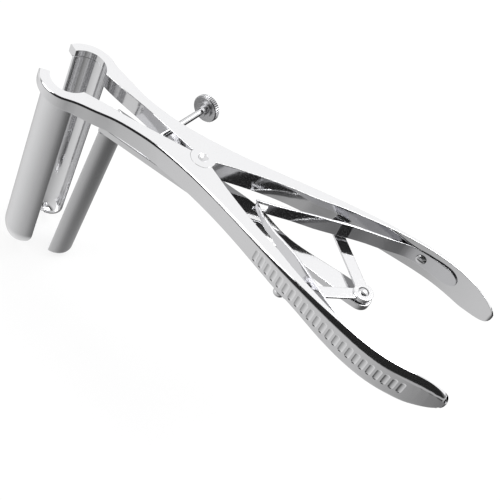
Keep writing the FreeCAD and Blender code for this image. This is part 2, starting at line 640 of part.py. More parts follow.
def build():
    """Every piece of the instrument, by node name."""
    right_spring = leaf_spring(SPRING_TIP_RIGHT, True)
    left_spring = leaf_spring(SPRING_TIP_LEFT, False)
    spring_bolt = spring_screw()
    rod = thumb_screw()
    hole = placed(Part.makeCylinder(THUMB_ROD_R + RUNNING_GAP, 80, Vector(0, 0, -20)), thumb_frame())
    right = finger_grooves(right_side_lever(True).cut([pivot_seat(), right_spring, spring_bolt, hole]))
    left = finger_grooves(right_side_lever(False).cut([left_spring, spring_bolt]))
    blade = side_blade()
    return {
        "right_lever": right,
        "left_lever": mirrored(left),
        "right_blade": blade,
        "left_blade": mirrored(blade),
        "centre_bar": centre_bar(),
        "centre_blade": centre_blade(),
        "pivot_screw": pivot_screw(),
        "pivot_spacer": pivot_spacer(),
        "pivot_nut": pivot_nut(),
        "right_link": link_plate(UPPER_LINK_LOW, RUNNING_GAP),
        "left_link": mirrored(link_plate(LOWER_LINK_LOW, LINK_EYE_PLAY)),
        "link_rivet": link_rivet(),
        "link_spacer": link_spacer(),
        "right_link_screw": link_screw(UPPER_LINK_LOW),
        "left_link_screw": mirrored(link_screw(LOWER_LINK_LOW)),
        "left_link_washer": mirrored(link_washer()),
        "right_leaf_spring": right_spring,
        "left_leaf_spring": mirrored(left_spring),
        "right_spring_screw": spring_bolt,
        "left_spring_screw": mirrored(spring_bolt),
        "thumb_screw": rod,
        "thumb_screw_knob": thumb_screw_knob(),
    }


def main():
    os.makedirs("parts", exist_ok=True)
    for name, shape in build().items():
        print(name, shape.isValid(), len(shape.Solids), round(shape.Volume, 1), shape.BoundBox)
        shape.exportStep(os.path.join("parts", name + ".step"))


main()
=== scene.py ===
"""Looks of the three-blade speculum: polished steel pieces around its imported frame."""

import logging
import math
from dataclasses import dataclass, field
from enum import Enum
from typing import Callable, Sequence, Union

import bmesh
import bpy
from mathutils import Matrix, Vector


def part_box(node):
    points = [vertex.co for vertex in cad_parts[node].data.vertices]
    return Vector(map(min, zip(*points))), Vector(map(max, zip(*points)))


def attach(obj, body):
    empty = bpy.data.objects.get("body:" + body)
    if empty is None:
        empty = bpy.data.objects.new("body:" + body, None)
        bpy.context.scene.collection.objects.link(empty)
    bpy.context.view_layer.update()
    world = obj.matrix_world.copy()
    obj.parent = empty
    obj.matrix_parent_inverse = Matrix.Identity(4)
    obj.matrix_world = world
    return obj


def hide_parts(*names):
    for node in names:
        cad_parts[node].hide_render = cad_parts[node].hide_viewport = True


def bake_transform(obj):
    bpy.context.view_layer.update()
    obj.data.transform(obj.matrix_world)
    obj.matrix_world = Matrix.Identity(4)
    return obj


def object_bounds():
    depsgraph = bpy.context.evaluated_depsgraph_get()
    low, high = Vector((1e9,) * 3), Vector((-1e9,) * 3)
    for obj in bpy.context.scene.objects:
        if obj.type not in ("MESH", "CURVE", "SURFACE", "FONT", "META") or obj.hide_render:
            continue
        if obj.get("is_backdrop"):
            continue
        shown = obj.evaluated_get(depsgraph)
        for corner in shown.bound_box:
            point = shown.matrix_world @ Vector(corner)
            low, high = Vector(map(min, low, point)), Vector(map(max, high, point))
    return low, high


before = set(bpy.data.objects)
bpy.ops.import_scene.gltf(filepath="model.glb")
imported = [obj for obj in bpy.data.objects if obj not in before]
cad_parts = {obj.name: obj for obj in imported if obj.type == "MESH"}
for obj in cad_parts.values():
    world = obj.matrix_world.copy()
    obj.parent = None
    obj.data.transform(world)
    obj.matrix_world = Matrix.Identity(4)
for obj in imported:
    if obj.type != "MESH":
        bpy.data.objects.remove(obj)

log = logging.getLogger("speculum")

MM = 0.001                     # a millimetre in metres
SHARP = math.radians(32.0)     # edges sharper than this get a rounding
SMOOTH = math.radians(38.0)    # edges sharper than this stay sharp in the shading
MERGE = 0.002 * MM             # corners nearer than this are one corner
FLAT = math.radians(0.4)       # faces that meet at less than this are one face

X_AXIS = (1.0, 0.0, 0.0)
Y_AXIS = (0.0, 1.0, 0.0)
Z_AXIS = (0.0, 0.0, 1.0)
WHITE = (1.0, 1.0, 1.0, 1.0)


class Side(Enum):
    """The two handed halves of the instrument."""

    RIGHT = 1
    LEFT = -1

    @property
    def word(self) -> str:
        """The half's name as its node names have it."""
        return self.name.lower()


class Value:
    """A number socket in a shader, on which arithmetic adds Math nodes."""

    def __init__(self, graph: "ShaderGraph", socket: bpy.types.NodeSocket) -> None:
        """Wraps a socket.

        Args:
            graph: the graph that the socket is in.
            socket: the output to read.
        """
        self.graph = graph
        self.socket = socket

    def _math(self, operation: str, left: "Number", right: "Number") -> "Value":
        """One Math node on two operands."""
        return self.graph.add("ShaderNodeMath", {"operation": operation}, {0: left, 1: right})

    def __add__(self, other: "Number") -> "Value":
        """Sum."""
        return self._math("ADD", self, other)

    def __radd__(self, other: "Number") -> "Value":
        """Sum, number first."""
        return self._math("ADD", other, self)

    def __sub__(self, other: "Number") -> "Value":
        """Difference."""
        return self._math("SUBTRACT", self, other)

    def __rsub__(self, other: "Number") -> "Value":
        """Difference, number first."""
        return self._math("SUBTRACT", other, self)

    def __mul__(self, other: "Number") -> "Value":
        """Product."""
        return self._math("MULTIPLY", self, other)

    def __rmul__(self, other: "Number") -> "Value":
        """Product, number first."""
        return self._math("MULTIPLY", other, self)

    def power(self, other: "Number") -> "Value":
        """This value raised to another."""
        return self._math("POWER", self, other)


Number = Union[Value, float, int]


class ShaderGraph:
    """The nodes of one material or of the sky."""

    def __init__(self, name: str, owner: Union[bpy.types.World, None] = None) -> None:
        """Starts an empty material, or an empty sky.

        Args:
            name: the material's name.
            owner: the world to fill, in place of a new material.
        """
        self.material = owner or bpy.data.materials.new(name)
        self.material.use_nodes = True
        self.tree = self.material.node_tree
        self.tree.nodes.clear()

    def add(self, kind: str, settings: dict, inputs: dict, output: Union[int, str] = 0) -> Value:
        """Adds one node.

        Args:
            kind: the node's type.
            settings: its attributes, set before its sockets; a ramp's stops go under "stops".
            inputs: values or links by socket name or number.
            output: which output to return.

        Returns:
            The chosen output.
        """
        node = self.tree.nodes.new(kind)
        for key, value in settings.items():
            if key == "stops":
                self._stops(node.color_ramp, value)
            else:
                setattr(node, key, value)
        for key, value in inputs.items():
            if isinstance(value, Value):
                self.tree.links.new(value.socket, node.inputs[key])
            else:
                node.inputs[key].default_value = value
        return Value(self, node.outputs[output])

    @staticmethod
    def _stops(ramp: bpy.types.ColorRamp, stops: Sequence[tuple[float, float]]) -> None:
        """Gives a grey ramp its stops.

        Args:
            ramp: the ramp to fill.
            stops: positions and grey levels.
        """
        while len(ramp.elements) < len(stops):
            ramp.elements.new(1.0)
        for element, (place, grey) in zip(ramp.elements, stops):
            element.position = place
            element.color = (grey, grey, grey, 1.0)

    def place(self) -> Value:
        """Object coordinates of the shaded point."""
        return self.add("ShaderNodeTexCoord", {}, {}, "Object")

    def stretched(self, scale: Sequence[float]) -> Value:
        """Object coordinates, stretched by a factor along each axis.

        Args:
            scale: factor along X, Y and Z.
        """
        return self.add("ShaderNodeMapping", {}, {"Vector": self.place(), "Scale": tuple(scale)})

    def noise(self, scale: float, detail: float, stretch: Sequence[float] = (1, 1, 1)) -> Value:
        """A noise pattern in the object's own space.

        Args:
            scale: how fine it is, in cells per metre.
            detail: octaves.
            stretch: factor along each axis.
        """
        return self.add("ShaderNodeTexNoise", {}, {"Vector": self.stretched(stretch), "Scale": scale,
                                                   "Detail": detail}, "Fac")

    def dot(self, vector: Value, axis: Sequence[float]) -> Value:
        """How far a place or direction goes along an axis."""
        return self.add("ShaderNodeVectorMath", {"operation": "DOT_PRODUCT"},
                        {0: vector, 1: tuple(axis)}, "Value")

    def step(self, value: Value, low: float, high: float) -> Value:
        """A smooth step from 0 at low to 1 at high."""
        return self.add("ShaderNodeMapRange", {"interpolation_type": "SMOOTHSTEP", "clamp": True},
                        {"Value": value, "From Min": low, "From Max": high}, "Result")

    def mixed(self, share: Number, first: Union[Value, tuple], second: tuple) -> Value:
        """The first colour with a share of the second."""
        return self.add("ShaderNodeMix", {"data_type": "RGBA"}, {"Factor": share, "A": first, "B": second}, 2)

    def close(self, shader: Value) -> bpy.types.Material:
        """Sends a shader to the output of the material or sky, and returns that."""
        sky = isinstance(self.material, bpy.types.World)
        out = self.tree.nodes.new("ShaderNodeOutputWorld" if sky else "ShaderNodeOutputMaterial")
        self.tree.links.new(shader.socket, out.inputs["Surface"])
        return self.material


@dataclass(frozen=True)
class MetalFinish:
    """A polished steel: tint, gloss and the faint marks that polishing and use leave.

    Attributes:
        name: the material's name.
        slot: a material slot's name; not used.
        tint: its colour.
        roughness: its roughness between marks.
        smear: how much rougher its cloudy smears are.
        grain: how the polishing marks are squeezed along each axis.
        grain_scale: how fine the polishing marks are.
        ripple: how wavy the surface is.
        made: the materials already built, by name.
    """

    name: str
    slot: str
    tint: tuple[float, float, float] = (0.80, 0.80, 0.81)
    roughness: float = 0.07
    smear: float = 0.05
    grain: tuple[float, float, float] = (1.0, 1.0, 1.0)
    grain_scale: float = 900.0
    ripple: float = 0.02
    made: dict = field(default_factory=dict, compare=False, repr=False)
    cloud_scale: float = 60.0
    ripple_scale: float = 160.0
    scratch_fineness: float = 1.7
    scratch_stops: tuple = ((0.0, 0.0), (0.62, 0.0), (0.8, 1.0))
    scratch_roughness: float = 0.06
    grain_height: float = 0.004
    worn_tint: float = 0.93
    # the colour of painted shade, for a finish that paints some
    painted_shade_tint: tuple[float, float, float, float] = (0.05, 0.05, 0.055, 1.0)
    bump_strength: float = 0.35
    bump_distance: float = 0.6 * MM

    def material(self) -> bpy.types.Material:
        """The finish's material, made once."""
        if self.name not in self.made:
            self.made[self.name] = self._build()
        return self.made[self.name]

    def gloss(self, graph: ShaderGraph) -> Number:
        """The roughness before marks are added."""
        return self.roughness

    def painted_shade_share(self, graph: ShaderGraph) -> Number:
        """How much of the painted shade colour shows: none in a plain finish."""
        return 0.0

    def _build(self) -> bpy.types.Material:
        """Builds the node tree."""
        graph = ShaderGraph(self.name)
        clouds = graph.noise(self.cloud_scale, 3.0)
        streaks = graph.noise(self.grain_scale, 2.0, self.grain)
        marks = graph.noise(self.grain_scale * self.scratch_fineness, 4.0, self.grain)
        scratches = graph.add("ShaderNodeValToRGB", {"stops": self.scratch_stops}, {"Fac": marks})
        roughness = self.gloss(graph) + self.smear * clouds.power(2.0) + self.scratch_roughness * scratches
        shade = graph.mixed(0.5 * clouds + 0.35 * streaks, (*self.tint, 1.0),
                            (*(self.worn_tint * c for c in self.tint), 1.0))
        # painted shade: a finish may mix its shade colour in, as the knurl does in its bottoms
        dark = self.painted_shade_share(graph)
        if isinstance(dark, Value):
            shade = graph.mixed(dark, shade, self.painted_shade_tint)
        height = graph.noise(self.ripple_scale, 1.0) * self.ripple + self.grain_height * streaks
        bump = graph.add("ShaderNodeBump", {}, {"Strength": self.bump_strength, "Distance": self.bump_distance,
                                                "Height": height}, "Normal")
        shader = graph.add("ShaderNodeBsdfPrincipled", {},
                           {"Base Color": shade, "Metallic": 1.0, "Roughness": roughness, "Normal": bump})
        return graph.close(shader)


@dataclass(frozen=True)
class BladeFinish(MetalFinish):
    """A blade's steel: bright inside its trough and satin on its back.

    Attributes:
        axis: where the blade's axis is in X and Y.
        lean: how far the axis leans along X.
        lean_from: the height that it leans about.
        reach: the wall's middle, from the axis.
        satin: the back's roughness.
        border: how far to each side of the wall's middle the change goes.
    """

    axis: tuple[float, float] = (0.0, 0.0)
    lean: float = 0.0
    lean_from: float = 0.0
    reach: float = 0.009
    satin: float = 0.22
    border: float = 0.2 * MM

    def gloss(self, graph: ShaderGraph) -> Number:
        """Rougher where the surface is farther from the blade's axis than its wall's middle."""
        place = graph.place()
        drop = graph.dot(place, Z_AXIS) - self.lean_from
        across = graph.dot(place, X_AXIS) - self.axis[0] - math.tan(self.lean) * drop
        side = graph.dot(place, Y_AXIS) - self.axis[1]
        distance = (across * across + side * side).power(0.5)
        back = graph.step(distance, self.reach - self.border, self.reach + self.border)
        return self.roughness + (self.satin - self.roughness) * back


@dataclass(frozen=True)
class KnurlFinish(MetalFinish):
    """A knurled head's steel, dull and dark in the bottoms of its knurl.

    Attributes:
        origin: a point of the screw's axis.
        tilt: how far the axis turns from Y towards X.
        valley: the nearest and farthest from the axis that the bottoms with painted shade are.
        fade: how far the painted shade fades inwards and outwards.
        painted_valley_shade: how dark the painted shade in the bottoms is at most.
    """

    origin: tuple[float, float, float] = (-19.372 * MM, -2.35 * MM, -4.2 * MM)
    tilt: float = math.radians(9.0)
    valley: tuple[float, float] = (5.48 * MM, 5.70 * MM)
    fade: tuple[float, float] = (0.04 * MM, 0.08 * MM)
    # how dark the shade painted into the knurl's bottoms is at most
    painted_valley_shade: float = 0.85

    def painted_shade_share(self, graph: ShaderGraph) -> Number:
        """How much painted shade shows, most in the knurl's bottoms."""
        place = graph.place()
        across = (math.cos(self.tilt), -math.sin(self.tilt), 0.0)
        offset = across[0] * self.origin[0] + across[1] * self.origin[1]
        side = graph.dot(place, across) - offset
        rise = graph.dot(place, Z_AXIS) - self.origin[2]
        reach = (side * side + rise * rise).power(0.5)
        low, high = self.valley
        inner = graph.step(reach, low - self.fade[0], low)
        outer = graph.step(reach, high - self.fade[1], high)
        # painted shade, strongest between the inner and the outer reach of the knurl's bottoms
        return self.painted_valley_shade * inner * (1.0 - outer)


MIRROR = MetalFinish("mirror_polish", "polished_steel")
TURNED = MetalFinish("turned_steel", "fastener_steel", (0.66, 0.66, 0.67), 0.14, 0.06, (1, 1, 14), 1400.0)
SPRING = MetalFinish("spring_polish", "spring_steel", (0.78, 0.78, 0.80), 0.08, 0.05, (0.3, 0.3, 4), 1200.0)
KNURL = KnurlFinish("knurled_steel", "fastener_steel", (0.55, 0.55, 0.56), 0.30, 0.08, (1, 1, 1), 2200.0)


def deselect() -> None:
    """Leaves nothing selected."""
    if bpy.context.object and bpy.context.object.mode != "OBJECT":
        bpy.ops.object.mode_set(mode="OBJECT")
    bpy.ops.object.select_all(action="DESELECT")


def activate(piece: bpy.types.Object) -> None:
    """Makes one object the only one selected."""
    deselect()
    piece.select_set(True)
    bpy.context.view_layer.objects.active = piece


def apply_modifiers(piece: bpy.types.Object) -> None:
    """Applies every modifier on a piece, in order."""
    activate(piece)
    for modifier in list(piece.modifiers):
        bpy.ops.object.modifier_apply(modifier=modifier.name)


def copy_of(node: str, name: str) -> bpy.types.Object:
    """A welded copy of a frame node's mesh, with its flat faces whole.

    Args:
        node: the node to copy.
        name: the new piece's name.

    Returns:
        The new object, at the origin.
    """
    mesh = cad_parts[node].data.copy()
    mesh.name = name
    mesh.materials.clear()
    piece = bpy.data.objects.new(name, mesh)
    bpy.context.scene.collection.objects.link(piece)
    activate(piece)
    if mesh.has_custom_normals:
        bpy.ops.mesh.customdata_custom_splitnormals_clear()
    bpy.ops.object.mode_set(mode="EDIT")
    bpy.ops.mesh.select_all(action="SELECT")
    bpy.ops.mesh.remove_doubles(threshold=MERGE)
    bpy.ops.mesh.dissolve_limited(angle_limit=FLAT)
    bpy.ops.mesh.normals_make_consistent(inside=False)
    bpy.ops.object.mode_set(mode="OBJECT")
    return piece


def ease_edges(piece: bpy.types.Object, width: Callable[[Vector, Vector], float], segments: int = 4) -> None:
    """Rounds a piece's sharp edges by bevel weights and shades it smooth.

    Args:
        piece: the welded piece.
        width: gives an edge's rounding in metres from its middle and the mean of its faces' normals.
        segments: how many faces a rounding has.
    """
    mesh = piece.data
    work = bmesh.new()
    work.from_mesh(mesh)
    wanted = {}
    for edge in work.edges:
        if len(edge.link_faces) == 2 and edge.calc_face_angle(0.0) > SHARP:
            middle = (edge.verts[0].co + edge.verts[1].co) / 2
            mean = edge.link_faces[0].normal + edge.link_faces[1].normal
            wanted[edge.index] = width(middle, mean.normalized() if mean.length > 0 else mean)
    work.free()
    widest = max(wanted.values(), default=0.0)
    if widest <= 0.0:
        return
    weights = mesh.attributes.new("bevel_weight_edge", "FLOAT", "EDGE")
    for index, value in wanted.items():
        weights.data[index].value = value / widest
    bevel = piece.modifiers.new("rounding", "BEVEL")
    bevel.limit_method = "WEIGHT"
    bevel.width = widest
    bevel.segments = segments
    bevel.use_clamp_overlap = False
    bevel.miter_outer = "MITER_ARC"
    apply_modifiers(piece)


def smooth(piece: bpy.types.Object, angle: float = SMOOTH) -> None:
    """Smooth shading that keeps flat faces flat.

    Args:
        piece: the piece to shade.
        angle: edges sharper than this stay sharp.
    """
    activate(piece)
    bpy.ops.object.shade_smooth_by_angle(angle=angle)
    weighted = piece.modifiers.new("flat faces first", "WEIGHTED_NORMAL")
    weighted.mode = "FACE_AREA"
    weighted.weight = 90
    weighted.keep_sharp = True
    apply_modifiers(piece)


def dress(piece: bpy.types.Object, finish: MetalFinish, body: str, *nodes: str) -> None:
    """Gives a piece its finish, body and the nodes that it stands for.

    Args:
        piece: the finished mesh.
        finish: its metal.
        body: the body that it moves with.
        nodes: the frame nodes that it replaces.
    """
    piece.data.materials.clear()
    piece.data.materials.append(finish.material())
    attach(piece, body)
    if nodes:
        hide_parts(*nodes)
    log.info("%s rides on %s with %d faces", piece.name, body, len(piece.data.polygons))


def finished_copy(node: str, name: str, finish: MetalFinish, body: str, edge: float = 0.0,
                  segments: int = 4) -> None:
    """A node's mesh with every sharp edge rounded alike, shaded and dressed.

    Args:
        node: the node to copy and replace.
        name: the new piece's name.
        finish: its metal.
        body: the body that it moves with.
        edge: the rounding of its edges.
        segments: how many faces a rounding has.
    """
    piece = copy_of(node, name)
    ease_edges(piece, lambda middle, mean: edge, segments)
    smooth(piece)
    dress(piece, finish, body, node)


def plain(node: str, finish: MetalFinish) -> None:
    """Gives a frame node a finish and leaves its shape as it is."""
    material = finish.material()
    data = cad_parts[node].data
    if not data.materials:
        data.materials.append(material)
    for index in range(len(data.materials)):
        data.materials[index] = material
    log.info("%s keeps its shape", node)


def evenly(chain: Sequence[Vector], spacing: float) -> list[Vector]:
    """Points at an even spacing along a chain of corners.

    Args:
        chain: the corners.
        spacing: the distance between points, about.
    """
    runs = [(b - a).length for a, b in zip(chain, chain[1:])]
    total = sum(runs)
    count = max(2, round(total / spacing))
    points = []
    index, before = 0, 0.0
    for step in range(count + 1):
        want = total * step / count
        while index < len(runs) - 1 and before + runs[index] < want:
            before += runs[index]
            index += 1
        points.append(chain[index].lerp(chain[index + 1], min(1.0, (want - before) / max(runs[index], 1e-9))))
    return points


def table_at(table: Sequence[tuple[float, float]], x: float) -> float:
    """A value read from a table of places and values, straight between its rows."""
    for (x0, value0), (x1, value1) in zip(table, table[1:]):
        if x <= x1:
            return value0 + (value1 - value0) * max(0.0, x - x0) / (x1 - x0)
    return table[-1][1]


@dataclass
class Trough:
    """A blade: a part tube with an even wall and a round nose, spun from its profile.

    Attributes:
        node: the frame node that it replaces.
        name: the piece's name.
        centre: its axis in X and Y.
        radius: its outside radius.
        wall: its wall's thickness.
        top: the height of its upper end.
        nose: how high the rounded end is.
        start: the angle of its first rim, from X.
        sweep: the angle from the first rim to the second.
        tip: the height of its lower end.
        lean: how far it leans along X.
        seat: the height where it is cut off under the bar, if it is.
        spoon: how far the nose's pole moves to the blade's back.
        steps: faces around it.
        nose_steps: faces along the rounded end.
        rim: the rims' rounding.
        rim_fade: the distance from the axis below which the rounding fades.
    """

    node: str
    name: str
    centre: tuple[float, float]
    radius: float
    wall: float
    top: float
    nose: float
    start: float
    sweep: float
    tip: float
    lean: float = 0.0
    seat: Union[float, None] = None
    spoon: float = 0.0
    steps: int = 56
    nose_steps: int = 18
    rim: float = 0.45 * MM
    rim_fade: float = 5.0 * MM
    sharp_top: float = 1.0 * MM
    slack: float = 0.1 * MM
    roughness: float = 0.13

    def profile(self) -> list[tuple[float, float]]:
        """Distance from the axis and height, down the outside and up the inside."""
        inner = self.radius - self.wall
        level = self.tip + self.nose
        turns = [math.pi / 2 * i / self.nose_steps for i in range(self.nose_steps + 1)]
        outside = [(self.radius * math.cos(t), level - self.nose * math.sin(t)) for t in turns]
        inside = [(inner * math.cos(t), level - (self.nose - self.wall) * math.sin(t)) for t in turns]
        return [(self.radius, self.top), *outside, *reversed(inside), (inner, self.top)]

    def hollow_end(self, blade: bpy.types.Object) -> None:
        """Moves the nose's pole towards the blade's back, so that the end is round like a spoon's.

        Args:
            blade: the spun blade about the Z axis, before it is turned into place.
        """
        level = self.tip + self.nose
        middle = Vector((math.cos(self.sweep / 2), math.sin(self.sweep / 2), 0.0))
        for vertex in blade.data.vertices:
            drop = level - vertex.co.z
            if drop <= 0:
                continue
            outside = math.sqrt(max(0.0, 1 - (drop / self.nose) ** 2))
            inside = math.sqrt(max(0.0, 1 - (drop / (self.nose - self.wall)) ** 2))
            reach = math.hypot(vertex.co.x, vertex.co.y)
            share = outside if reach > self.radius * outside - self.slack else inside
            vertex.co += middle * self.spoon * (1 - share)

    def rounding(self, middle: Vector, mean: Vector) -> float:
        """The rims are rounded, less towards the nose's pole and not at the upper end."""
        lean = math.tan(self.lean) * (middle.z - self.lean_from)
        reach = math.hypot(middle.x - self.centre[0] - lean, middle.y - self.centre[1])
        if middle.z > self.top - self.sharp_top:
            return 0.0
        if self.seat is not None and middle.z > self.seat - self.slack:
            return 0.0
        return self.rim * min(1.0, reach / self.rim_fade)

    @property
    def lean_from(self) -> float:
        """The height that the blade leans about."""
        return self.seat if self.seat is not None else 0.0

    def build(self, body: str) -> None:
        """Spins the profile, closes both rims, rounds and places the blade.

        Args:
            body: the body that the blade moves with.
        """
        corners = self.profile()
        deselect()
        bpy.ops.mesh.primitive_circle_add(vertices=len(corners), fill_type="NGON")
        blade = bpy.context.object
        blade.name = blade.data.name = self.name
        for vertex, (reach, height) in zip(blade.data.vertices, corners):
            vertex.co = (reach, 0.0, height)
        bpy.ops.object.mode_set(mode="EDIT")
        bpy.ops.mesh.select_all(action="SELECT")
        bpy.ops.mesh.spin(steps=self.steps, angle=-self.sweep, center=(0, 0, 0), axis=Z_AXIS)
        bpy.ops.mesh.select_all(action="SELECT")
        bpy.ops.mesh.remove_doubles(threshold=MERGE)
        bpy.ops.mesh.select_mode(type="EDGE")
        bpy.ops.mesh.select_all(action="DESELECT")
        bpy.ops.mesh.select_non_manifold()
        bpy.ops.mesh.edge_face_add()
        bpy.ops.object.mode_set(mode="OBJECT")
        self.hollow_end(blade)
        pivot = Vector((*self.centre, self.lean_from))
        lean = Matrix.Translation(pivot) @ Matrix.Rotation(self.lean, 4, "Y") @ Matrix.Translation(-pivot)
        place = Matrix.Translation(Vector((*self.centre, 0.0)))
        blade.data.transform(lean @ place @ Matrix.Rotation(self.start, 4, "Z"))
        bpy.ops.object.mode_set(mode="EDIT")
        bpy.ops.mesh.select_all(action="SELECT")
        if self.seat is not None:
            bpy.ops.mesh.bisect(plane_co=(0, 0, self.seat), plane_no=Z_AXIS, use_fill=True, clear_outer=True)
            bpy.ops.mesh.select_all(action="SELECT")
        bpy.ops.mesh.normals_make_consistent(inside=False)
        bpy.ops.object.mode_set(mode="OBJECT")
        ease_edges(blade, self.rounding)
        smooth(blade)
        finish = BladeFinish(f"{self.name}_steel", "polished_steel", axis=self.centre, lean=self.lean,
                             lean_from=self.lean_from, reach=self.radius - self.wall / 2,
                             roughness=self.roughness)
        dress(blade, finish, body, self.node)


@dataclass
class Lever:
    """One lever with its blade and its screws.

    The numbers are the right lever's, and the left one has them mirrored in Y.

    Attributes:
        side: which lever it is.
        shoulder_width: how far the shoulder goes in over the top, by X, both in millimetres.
        shoulder_depth: how far it goes down the side, by X, both in millimetres.
        shoulder_crown: how full it is, from 0 for a sharp corner to 0.5 for a flat chamfer.
        fair_from: the angle on the ring where the sweep into the neck starts.
        fair_to: the place and slope where the sweep ends.
        lower_rounding: the lower outer edge's rounding by X, both in millimetres.
        lap_radius: how far the lap at the pivot reaches.
        pocket_height: the height below which edges are those of the link's pocket.
    """

    side: Side
    shoulder_width: tuple = ((-72, 0.5), (0, 0.6), (28, 0.75), (46, 0.9), (62, 1.15), (80, 1.6), (96, 1.9),
                             (112, 2.2), (118, 2.1), (122, 1.8), (125, 1.3), (128, 0.6))
    shoulder_depth: tuple = ((-72, 0.7), (0, 0.8), (28, 1.0), (46, 1.2), (62, 1.6), (80, 2.1), (96, 2.4),
                             (106, 2.8), (112, 3.2), (118, 3.1), (122, 2.7), (125, 2.0), (128, 0.9))
    shoulder_crown: float = 0.37
    shoulder_steps: int = 7
    shoulder_spacing: float = 0.8 * MM
    ring_centre: tuple[float, float] = (-59.7 * MM, 5.0 * MM)
    ring_radius: float = 12.8 * MM
    fair_from: float = math.radians(62.0)
    fair_to: tuple[float, float, float] = (-41.0 * MM, 12.237 * MM, -0.32)
    blade_radius: float = 9.8 * MM
    blade_wall: float = 1.4 * MM
    blade_top: float = -3.4 * MM
    blade_nose: float = 8.5 * MM
    blade_tip: float = -97.4 * MM
    blade_spoon: float = 5.0 * MM
    blade_angles: tuple[float, float] = (41.0, 154.0)
    link_pivot: tuple[float, float] = (53.8 * MM, 23.0 * MM)
    lower_rounding: tuple = ((36, 0.15), (50, 0.2), (64, 0.5), (80, 0.7), (128, 0.7))
    inner_rounding: float = 0.3 * MM
    ring_rounding: float = 0.45 * MM
    ring_end: float = -50 * MM
    fine: float = 0.12 * MM
    screw_edge: float = 0.1 * MM
    shading: float = math.radians(20.0)
    lap_radius: float = 6.2 * MM
    link_radius: float = 6.0 * MM
    pocket_height: float = -9.8 * MM
    top_edge: float = -0.4 * MM
    ring_top_edge: float = -1.2 * MM
    top_slack: float = 0.05 * MM
    falling_from: float = 108 * MM
    neck_side: float = 11.0 * MM
    ring_side: float = 11.5 * MM
    overlap: float = 0.15

    def fair_neck(self, lever: bpy.types.Object) -> None:
        """Carries the ring's outer side over into the neck in one sweep.

        Args:
            lever: the welded lever.
        """
        cx, cy = self.ring_centre
        x0 = cx + self.ring_radius * math.cos(self.fair_from)
        y0 = cy + self.ring_radius * math.sin(self.fair_from)
        slope0 = -1.0 / math.tan(self.fair_from)
        x1, y1, slope1 = self.fair_to
        run = x1 - x0
        for vertex in lever.data.vertices:
            x, y = vertex.co.x, vertex.co.y * self.side.value
            if x0 < x < x1 and y > self.neck_side and math.hypot(x - cx, y - cy) > self.ring_side:
                t = (x - x0) / run
                swept = ((1 + 2 * t) * (1 - t) ** 2 * y0 + t * (1 - t) ** 2 * run * slope0
                         + t * t * (3 - 2 * t) * y1 + t * t * (t - 1) * run * slope1)
                vertex.co.y = max(y, swept) * self.side.value

    def is_outer_top(self, edge: bmesh.types.BMEdge) -> bool:
        """Whether an edge is where the top meets the outer side."""
        if len(edge.link_faces) != 2 or edge.calc_face_angle(0.0) < SHARP:
            return False
        top, wall = sorted(edge.link_faces, key=lambda face: -face.normal.z)
        middle = (edge.verts[0].co + edge.verts[1].co) / 2
        outward = Vector((0, self.side.value, 0))
        x, y = self.ring_centre
        if middle.x < x + self.ring_radius:
            outward = (middle - Vector((x, y * self.side.value, 0.0))).normalized()
        on_top = middle.z > -self.top_slack or middle.x > self.falling_from
        return on_top and top.normal.z > 0.25 and abs(wall.normal.z) < 0.15 and wall.normal.dot(outward) > 0.5

    def outer_chain(self, lever: bpy.types.Object) -> list[Vector]:
        """The corners of the outer top edge, from the ring's end to the handle's tip."""
        work = bmesh.new()
        work.from_mesh(lever.data)
        neighbours: dict = {}
        for edge in work.edges:
            if self.is_outer_top(edge):
                for here, there in (edge.verts, reversed(edge.verts)):
                    neighbours.setdefault(here.index, []).append(there.index)
        places = {vertex.index: vertex.co.copy() for vertex in work.verts}
        work.free()
        ends = [index for index, others in neighbours.items() if len(others) == 1]
        chain = [min(ends, key=lambda index: places[index].x)]
        ahead = neighbours[chain[0]]
        while ahead:
            chain.append(ahead[0])
            ahead = [index for index in neighbours[chain[-1]] if index not in chain]
        log.info("%s lever's outer edge has %d corners, %d ends", self.side.word, len(chain), len(ends))
        return [places[index] for index in chain]

    def shoulder_outline(self, corner: Vector, outward: Vector, up: Vector) -> list[Vector]:
        """The cutter's section at one corner of the edge: the shoulder's curve and a frame outside the lever.

        Args:
            corner: the place on the edge.
            outward: the level direction out of the lever.
            up: the direction out of its top.
        """
        width = table_at(self.shoulder_width, corner.x / MM) * MM
        depth = table_at(self.shoulder_depth, corner.x / MM) * MM
        first, last = corner - outward * width, corner - up * depth
        bulge = corner - (outward * width + up * depth) * self.shoulder_crown
        high, low = (end + (end - bulge) * self.overlap for end in (first, last))
        curve = []
        for step in range(self.shoulder_steps + 1):
            t = step / self.shoulder_steps
            curve.append(first * (1 - t) ** 2 + bulge * 2 * t * (1 - t) + last * t * t)
        return [high, *curve, low, low + outward * MM, corner + (outward + up) * MM, high + up * MM]

    def shoulder_cutter(self, lever: bpy.types.Object) -> bpy.types.Object:
        """A bar along the outer top edge whose inner face is the shoulder's surface."""
        stations = evenly(self.outer_chain(lever), self.shoulder_spacing)
        work = bmesh.new()
        rings = []
        for index, corner in enumerate(stations):
            along = (stations[min(index + 1, len(stations) - 1)] - stations[max(index - 1, 0)]).normalized()
            outward = Vector((-along.y, along.x, 0)).normalized() * self.side.value
            up = along.cross(outward) * self.side.value
            rings.append([work.verts.new(place) for place in self.shoulder_outline(corner, outward, up)])
        for here, there in zip(rings, rings[1:]):
            for index in range(len(here)):
                after = (index + 1) % len(here)
                work.faces.new((here[index], here[after], there[after], there[index]))
        work.faces.new(rings[0])
        work.faces.new(rings[-1])
        bmesh.ops.recalc_face_normals(work, faces=work.faces)
        mesh = bpy.data.meshes.new("shoulder_cutter")
        work.to_mesh(mesh)
        work.free()
        cutter = bpy.data.objects.new("shoulder_cutter", mesh)
        bpy.context.scene.collection.objects.link(cutter)
        return cutter

